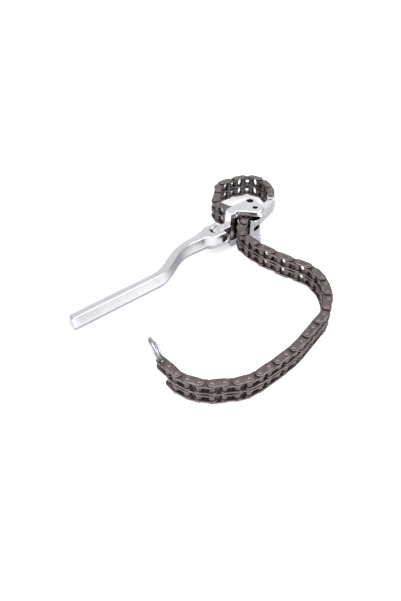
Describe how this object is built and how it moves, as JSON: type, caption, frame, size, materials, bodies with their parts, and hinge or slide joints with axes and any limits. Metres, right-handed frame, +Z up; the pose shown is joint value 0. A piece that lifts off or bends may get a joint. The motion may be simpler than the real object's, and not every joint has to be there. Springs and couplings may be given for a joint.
{
  "type": "oil filter chain wrench",
  "caption": "Chain wrench for oil filters: S-bent hexagonal handle forked onto a slotted head, two-strand roller chain looped through the head, free tail with a pull ring.",
  "frame": {"origin": "centre of the bounding box in plan, at the level of the underside of the lower cheek", "axes": "+Z up, normal to the plane the wrench lies in; +Y from the free end of the chain towards the loop; +X to the right as seen from above with the handle on the left"},
  "size_m": [0.2268, 0.3008, 0.0444],
  "materials": {
    "handle_steel": "satin plated",
    "head_steel": "satin plated",
    "pin_steel": "dark, recessed",
    "outer_link_steel": "oiled, warm grey",
    "inner_link_steel": "oiled, dark grey",
    "ring_steel": "bright"
  },
  "bodies": {
    "head": {"wrench_head": "head_steel", "handle_pivot_pin": "pin_steel", "nose_pin": "pin_steel", "catch_pin": "pin_steel", "outer_link_19": "outer_link_steel"},
    "handle": {"handle": "handle_steel"},
    "chain_end_link": {"chain_end_link": "inner_link_steel"},
    "outer_link_01": {"outer_link_01": "outer_link_steel"},
    "inner_link_02": {"inner_link_02": "inner_link_steel"},
    "outer_link_02": {"outer_link_02": "outer_link_steel"},
    "inner_link_03": {"inner_link_03": "inner_link_steel"},
    "outer_link_03": {"outer_link_03": "outer_link_steel"},
    "inner_link_04": {"inner_link_04": "inner_link_steel"},
    "outer_link_04": {"outer_link_04": "outer_link_steel"},
    "inner_link_05": {"inner_link_05": "inner_link_steel"},
    "outer_link_05": {"outer_link_05": "outer_link_steel"},
    "inner_link_06": {"inner_link_06": "inner_link_steel"},
    "outer_link_06": {"outer_link_06": "outer_link_steel"},
    "inner_link_07": {"inner_link_07": "inner_link_steel"},
    "outer_link_07": {"outer_link_07": "outer_link_steel"},
    "inner_link_08": {"inner_link_08": "inner_link_steel"},
    "outer_link_08": {"outer_link_08": "outer_link_steel"},
    "inner_link_09": {"inner_link_09": "inner_link_steel"},
    "outer_link_09": {"outer_link_09": "outer_link_steel"},
    "inner_link_10": {"inner_link_10": "inner_link_steel"},
    "outer_link_10": {"outer_link_10": "outer_link_steel"},
    "inner_link_11": {"inner_link_11": "inner_link_steel"},
    "outer_link_11": {"outer_link_11": "outer_link_steel"},
    "inner_link_12": {"inner_link_12": "inner_link_steel"},
    "outer_link_12": {"outer_link_12": "outer_link_steel"},
    "inner_link_13": {"inner_link_13": "inner_link_steel"},
    "outer_link_13": {"outer_link_13": "outer_link_steel"},
    "inner_link_14": {"inner_link_14": "inner_link_steel"},
    "outer_link_14": {"outer_link_14": "outer_link_steel"},
    "inner_link_15": {"inner_link_15": "inner_link_steel"},
    "outer_link_15": {"outer_link_15": "outer_link_steel"},
    "inner_link_16": {"inner_link_16": "inner_link_steel"},
    "outer_link_16": {"outer_link_16": "outer_link_steel"},
    "inner_link_17": {"inner_link_17": "inner_link_steel"},
    "outer_link_17": {"outer_link_17": "outer_link_steel"},
    "inner_link_18": {"inner_link_18": "inner_link_steel"},
    "outer_link_18": {"outer_link_18": "outer_link_steel"},
    "inner_link_19": {"inner_link_19": "inner_link_steel"},
    "inner_link_20": {"inner_link_20": "inner_link_steel"},
    "outer_link_20": {"outer_link_20": "outer_link_steel"},
    "inner_link_21": {"inner_link_21": "inner_link_steel"},
    "outer_link_21": {"outer_link_21": "outer_link_steel"},
    "inner_link_22": {"inner_link_22": "inner_link_steel"},
    "outer_link_22": {"outer_link_22": "outer_link_steel"},
    "inner_link_23": {"inner_link_23": "inner_link_steel"},
    "outer_link_23": {"outer_link_23": "outer_link_steel"},
    "inner_link_24": {"inner_link_24": "inner_link_steel"},
    "outer_link_24": {"outer_link_24": "outer_link_steel"},
    "inner_link_25": {"inner_link_25": "inner_link_steel"},
    "outer_link_25": {"outer_link_25": "outer_link_steel"},
    "inner_link_26": {"inner_link_26": "inner_link_steel"},
    "outer_link_26": {"outer_link_26": "outer_link_steel"},
    "inner_link_27": {"inner_link_27": "inner_link_steel"},
    "outer_link_27": {"outer_link_27": "outer_link_steel"},
    "pull_ring": {"pull_ring": "ring_steel"}
  },
  "joints": [
    {"name": "handle_swivel", "type": "hinge", "parent": "head", "child": "handle", "pos_m": [0.01759, 0.05051, 0.0193], "axis": [-0.5592, 0.829, 0], "range_deg": [-85, 85]},
    {"name": "loop_squeeze", "type": "hinge", "parent": "head", "child": "outer_link_27", "pos_m": [0.07347, 0.10474, 0.02002], "axis": [0, 0.092, 0.9958], "range_deg": [-6, 6]},
    {"name": "ring_swing", "type": "hinge", "parent": "chain_end_link", "child": "pull_ring", "pos_m": [-0.03155, -0.12261, 0.0254], "axis": [0, 0, 1], "range_deg": [-80, 80]},
    {"name": "tail_joint_01", "type": "hinge", "parent": "head", "child": "inner_link_19", "pos_m": [0.04209, 0.074, 0.02025], "axis": [0, 0, 1], "range_deg": [-3, 2]},
    {"name": "tail_joint_02", "type": "hinge", "parent": "inner_link_19", "child": "outer_link_18", "pos_m": [0.0449, 0.0649, 0.02025], "axis": [0, 0, 1], "range_deg": [-5, 8]},
    {"name": "tail_joint_03", "type": "hinge", "parent": "outer_link_18", "child": "inner_link_18", "pos_m": [0.04215, 0.05578, 0.02025], "axis": [0, 0, 1], "range_deg": [-5, 10]},
    {"name": "tail_joint_04", "type": "hinge", "parent": "inner_link_18", "child": "outer_link_17", "pos_m": [0.03835, 0.04705, 0.02025], "axis": [0, 0, 1], "range_deg": [-4, 6]},
    {"name": "tail_joint_05", "type": "hinge", "parent": "outer_link_17", "child": "inner_link_17", "pos_m": [0.03959, 0.0376, 0.02025], "axis": [0, 0, 1], "range_deg": [-4, 6]},
    {"name": "tail_joint_06", "type": "hinge", "parent": "inner_link_17", "child": "outer_link_16", "pos_m": [0.04491, 0.0297, 0.02025], "axis": [0, 0, 1], "range_deg": [-4, 6]},
    {"name": "tail_joint_07", "type": "hinge", "parent": "outer_link_16", "child": "inner_link_16", "pos_m": [0.05121, 0.02255, 0.02025], "axis": [0, 0, 1], "range_deg": [-4, 6]},
    {"name": "tail_joint_08", "type": "hinge", "parent": "inner_link_16", "child": "outer_link_15", "pos_m": [0.05762, 0.01551, 0.02025], "axis": [0, 0, 1], "range_deg": [-4, 6]},
    {"name": "tail_joint_09", "type": "hinge", "parent": "outer_link_15", "child": "inner_link_15", "pos_m": [0.06525, 0.00981, 0.02025], "axis": [0, 0, 1], "range_deg": [-4, 8]},
    {"name": "tail_joint_10", "type": "hinge", "parent": "inner_link_15", "child": "outer_link_14", "pos_m": [0.07272, 0.0039, 0.02025], "axis": [0, 0, 1], "range_deg": [-4, 6]},
    {"name": "tail_joint_11", "type": "hinge", "parent": "outer_link_14", "child": "inner_link_14", "pos_m": [0.08048, -0.00162, 0.02025], "axis": [0, 0, 1], "range_deg": [-5, 6]},
    {"name": "tail_joint_12", "type": "hinge", "parent": "inner_link_14", "child": "outer_link_13", "pos_m": [0.08873, -0.00639, 0.02025], "axis": [0, 0, 1], "range_deg": [-5, 8]},
    {"name": "tail_joint_13", "type": "hinge", "parent": "outer_link_13", "child": "inner_link_13", "pos_m": [0.09681, -0.01143, 0.02025], "axis": [0, 0, 1], "range_deg": [-5, 26]},
    {"name": "tail_joint_14", "type": "hinge", "parent": "inner_link_13", "child": "outer_link_12", "pos_m": [0.10272, -0.0189, 0.02025], "axis": [0, 0, 1], "range_deg": [-5, 18]},
    {"name": "tail_joint_15", "type": "hinge", "parent": "outer_link_12", "child": "inner_link_12", "pos_m": [0.1069, -0.02746, 0.02025], "axis": [0, 0, 1], "range_deg": [-5, 21]},
    {"name": "tail_joint_16", "type": "hinge", "parent": "inner_link_12", "child": "outer_link_11", "pos_m": [0.10877, -0.0368, 0.02025], "axis": [0, 0, 1], "range_deg": [-5, 14]},
    {"name": "tail_joint_17", "type": "hinge", "parent": "outer_link_11", "child": "inner_link_11", "pos_m": [0.10933, -0.04631, 0.02025], "axis": [0, 0, 1], "range_deg": [-5, 17]},
    {"name": "tail_joint_18", "type": "hinge", "parent": "inner_link_11", "child": "outer_link_10", "pos_m": [0.10812, -0.05575, 0.02025], "axis": [0, 0, 1], "range_deg": [-5, 15]},
    {"name": "tail_joint_19", "type": "hinge", "parent": "outer_link_10", "child": "inner_link_10", "pos_m": [0.10551, -0.06492, 0.02025], "axis": [0, 0, 1], "range_deg": [-5, 14]},
    {"name": "tail_joint_20", "type": "hinge", "parent": "inner_link_10", "child": "outer_link_09", "pos_m": [0.10159, -0.07359, 0.02025], "axis": [0, 0, 1], "range_deg": [-7, 21]},
    {"name": "tail_joint_21", "type": "hinge", "parent": "outer_link_09", "child": "inner_link_09", "pos_m": [0.09563, -0.08102, 0.02025], "axis": [0, 0, 1], "range_deg": [-7, 7]},
    {"name": "tail_joint_22", "type": "hinge", "parent": "inner_link_09", "child": "outer_link_08", "pos_m": [0.09001, -0.08872, 0.02025], "axis": [0, 0, 1], "range_deg": [-7, 7]},
    {"name": "tail_joint_23", "type": "hinge", "parent": "outer_link_08", "child": "inner_link_08", "pos_m": [0.08429, -0.09633, 0.02025], "axis": [0, 0, 1], "range_deg": [-7, 7]},
    {"name": "tail_joint_24", "type": "hinge", "parent": "inner_link_08", "child": "outer_link_07", "pos_m": [0.07859, -0.10396, 0.02025], "axis": [0, 0, 1], "range_deg": [-7, 11]},
    {"name": "tail_joint_25", "type": "hinge", "parent": "outer_link_07", "child": "inner_link_07", "pos_m": [0.07233, -0.11114, 0.02025], "axis": [0, 0, 1], "range_deg": [-7, 13]},
    {"name": "tail_joint_26", "type": "hinge", "parent": "inner_link_07", "child": "outer_link_06", "pos_m": [0.06535, -0.11762, 0.02025], "axis": [0, 0, 1], "range_deg": [-7, 7]},
    {"name": "tail_joint_27", "type": "hinge", "parent": "outer_link_06", "child": "inner_link_06", "pos_m": [0.05833, -0.12406, 0.02025], "axis": [0, 0, 1], "range_deg": [-7, 10]},
    {"name": "tail_joint_28", "type": "hinge", "parent": "inner_link_06", "child": "outer_link_05", "pos_m": [0.05093, -0.13006, 0.02025], "axis": [0, 0, 1], "range_deg": [-7, 7]},
    {"name": "tail_joint_29", "type": "hinge", "parent": "outer_link_05", "child": "inner_link_05", "pos_m": [0.04364, -0.13619, 0.02025], "axis": [0, 0, 1], "range_deg": [-7, 15]},
    {"name": "tail_joint_30", "type": "hinge", "parent": "inner_link_05", "child": "outer_link_04", "pos_m": [0.03553, -0.1412, 0.02025], "axis": [0, 0, 1], "range_deg": [-9, 23]},
    {"name": "tail_joint_31", "type": "hinge", "parent": "outer_link_04", "child": "inner_link_04", "pos_m": [0.02646, -0.14408, 0.02025], "axis": [0, 0, 1], "range_deg": [-9, 20]},
    {"name": "tail_joint_32", "type": "hinge", "parent": "inner_link_04", "child": "outer_link_03", "pos_m": [0.01699, -0.1451, 0.02025], "axis": [0, 0, 1], "range_deg": [-9, 8]},
    {"name": "tail_joint_33", "type": "hinge", "parent": "outer_link_03", "child": "inner_link_03", "pos_m": [0.00754, -0.14629, 0.02025], "axis": [0, 0, 1], "range_deg": [-9, 23]},
    {"name": "tail_joint_34", "type": "hinge", "parent": "inner_link_03", "child": "outer_link_02", "pos_m": [-0.00191, -0.14507, 0.02025], "axis": [0, 0, 1], "range_deg": [-9, 20]},
    {"name": "tail_joint_35", "type": "hinge", "parent": "outer_link_02", "child": "inner_link_02", "pos_m": [-0.01092, -0.14197, 0.02025], "axis": [0, 0, 1], "range_deg": [-9, 21]},
    {"name": "tail_joint_36", "type": "hinge", "parent": "inner_link_02", "child": "outer_link_01", "pos_m": [-0.01899, -0.13692, 0.02025], "axis": [0, 0, 1], "range_deg": [-9, 27]},
    {"name": "tail_joint_37", "type": "hinge", "parent": "outer_link_01", "child": "chain_end_link", "pos_m": [-0.02505, -0.12957, 0.02025], "axis": [0, 0, 1], "range_deg": [-9, 8]},
    {"name": "loop_joint_01", "type": "hinge", "parent": "outer_link_27", "child": "inner_link_27", "pos_m": [0.07398, 0.11417, 0.01915], "axis": [0, 0.0962, 0.9954], "range_deg": [-3.04, 3.04]},
    {"name": "loop_joint_02", "type": "hinge", "parent": "inner_link_27", "child": "outer_link_26", "pos_m": [0.07229, 0.1234, 0.01822], "axis": [0, 0.1045, 0.9945], "range_deg": [-3.32, 3.32]},
    {"name": "loop_joint_03", "type": "hinge", "parent": "outer_link_26", "child": "inner_link_26", "pos_m": [0.06902, 0.13219, 0.01726], "axis": [0, 0.1129, 0.9936], "range_deg": [-2.03, 2.03]},
    {"name": "loop_joint_04", "type": "hinge", "parent": "inner_link_26", "child": "outer_link_25", "pos_m": [0.06394, 0.1401, 0.01633], "axis": [0, 0.1212, 0.9926], "range_deg": [-3.01, 3.01]},
    {"name": "loop_joint_05", "type": "hinge", "parent": "outer_link_25", "child": "inner_link_25", "pos_m": [0.05591, 0.14512, 0.01569], "axis": [0, 0.1253, 0.9921], "range_deg": [-2.27, 2.27]},
    {"name": "loop_joint_06", "type": "hinge", "parent": "inner_link_25", "child": "outer_link_24", "pos_m": [0.04638, 0.145, 0.01571], "axis": [0, 0.1253, 0.9921], "range_deg": [-3.63, 3.63]},
    {"name": "loop_joint_07", "type": "hinge", "parent": "outer_link_24", "child": "inner_link_24", "pos_m": [0.03771, 0.14115, 0.01619], "axis": [0, 0.1191, 0.9929], "range_deg": [-3.58, 3.58]},
    {"name": "loop_joint_08", "type": "hinge", "parent": "head", "child": "inner_link_20", "pos_m": [0.03463, 0.07985, 0.02025], "axis": [0, 0.0063, 1], "range_deg": [-3.13, 3.13]},
    {"name": "loop_joint_09", "type": "hinge", "parent": "inner_link_20", "child": "outer_link_20", "pos_m": [0.02514, 0.08053, 0.02024], "axis": [0, 0.0188, 0.9998], "range_deg": [-2.1, 2.1]},
    {"name": "loop_joint_10", "type": "hinge", "parent": "outer_link_20", "child": "inner_link_21", "pos_m": [0.01749, 0.08605, 0.0201], "axis": [0, 0.0314, 0.9995], "range_deg": [-3.25, 3.25]},
    {"name": "loop_joint_11", "type": "hinge", "parent": "inner_link_21", "child": "outer_link_21", "pos_m": [0.01426, 0.09486, 0.01977], "axis": [0, 0.044, 0.999], "range_deg": [-4.18, 4.18]},
    {"name": "loop_joint_12", "type": "hinge", "parent": "outer_link_21", "child": "inner_link_22", "pos_m": [0.01652, 0.10396, 0.01931], "axis": [0, 0.0565, 0.9984], "range_deg": [-3.76, 3.76]},
    {"name": "loop_joint_13", "type": "hinge", "parent": "inner_link_22", "child": "outer_link_22", "pos_m": [0.01762, 0.11326, 0.01873], "axis": [0, 0.0691, 0.9976], "range_deg": [-2.18, 2.18]},
    {"name": "loop_joint_14", "type": "hinge", "parent": "outer_link_22", "child": "inner_link_23", "pos_m": [0.01747, 0.12261, 0.01802], "axis": [0, 0.0816, 0.9967], "range_deg": [-3.72, 3.72]},
    {"name": "loop_joint_15", "type": "hinge", "parent": "inner_link_23", "child": "outer_link_23", "pos_m": [0.02193, 0.13085, 0.0173], "axis": [0, 0.0941, 0.9956], "range_deg": [-3.31, 3.31]}
  ],
  "couplings": [
    {"joint": "loop_joint_01", "follows": "loop_squeeze", "ratio": -0.3398},
    {"joint": "loop_joint_02", "follows": "loop_squeeze", "ratio": -0.3874},
    {"joint": "loop_joint_03", "follows": "loop_squeeze", "ratio": -0.1715},
    {"joint": "loop_joint_04", "follows": "loop_squeeze", "ratio": -0.3349},
    {"joint": "loop_joint_05", "follows": "loop_squeeze", "ratio": 0.2124},
    {"joint": "loop_joint_06", "follows": "loop_squeeze", "ratio": 0.4389},
    {"joint": "loop_joint_07", "follows": "loop_squeeze", "ratio": 0.4307},
    {"joint": "loop_joint_08", "follows": "loop_squeeze", "ratio": 0.3548},
    {"joint": "loop_joint_09", "follows": "loop_squeeze", "ratio": 0.1838},
    {"joint": "loop_joint_10", "follows": "loop_squeeze", "ratio": 0.3742},
    {"joint": "loop_joint_11", "follows": "loop_squeeze", "ratio": -0.5296},
    {"joint": "loop_joint_12", "follows": "loop_squeeze", "ratio": -0.4603},
    {"joint": "loop_joint_13", "follows": "loop_squeeze", "ratio": -0.196},
    {"joint": "loop_joint_14", "follows": "loop_squeeze", "ratio": 0.4538},
    {"joint": "loop_joint_15", "follows": "loop_squeeze", "ratio": -0.3844}
  ]
}
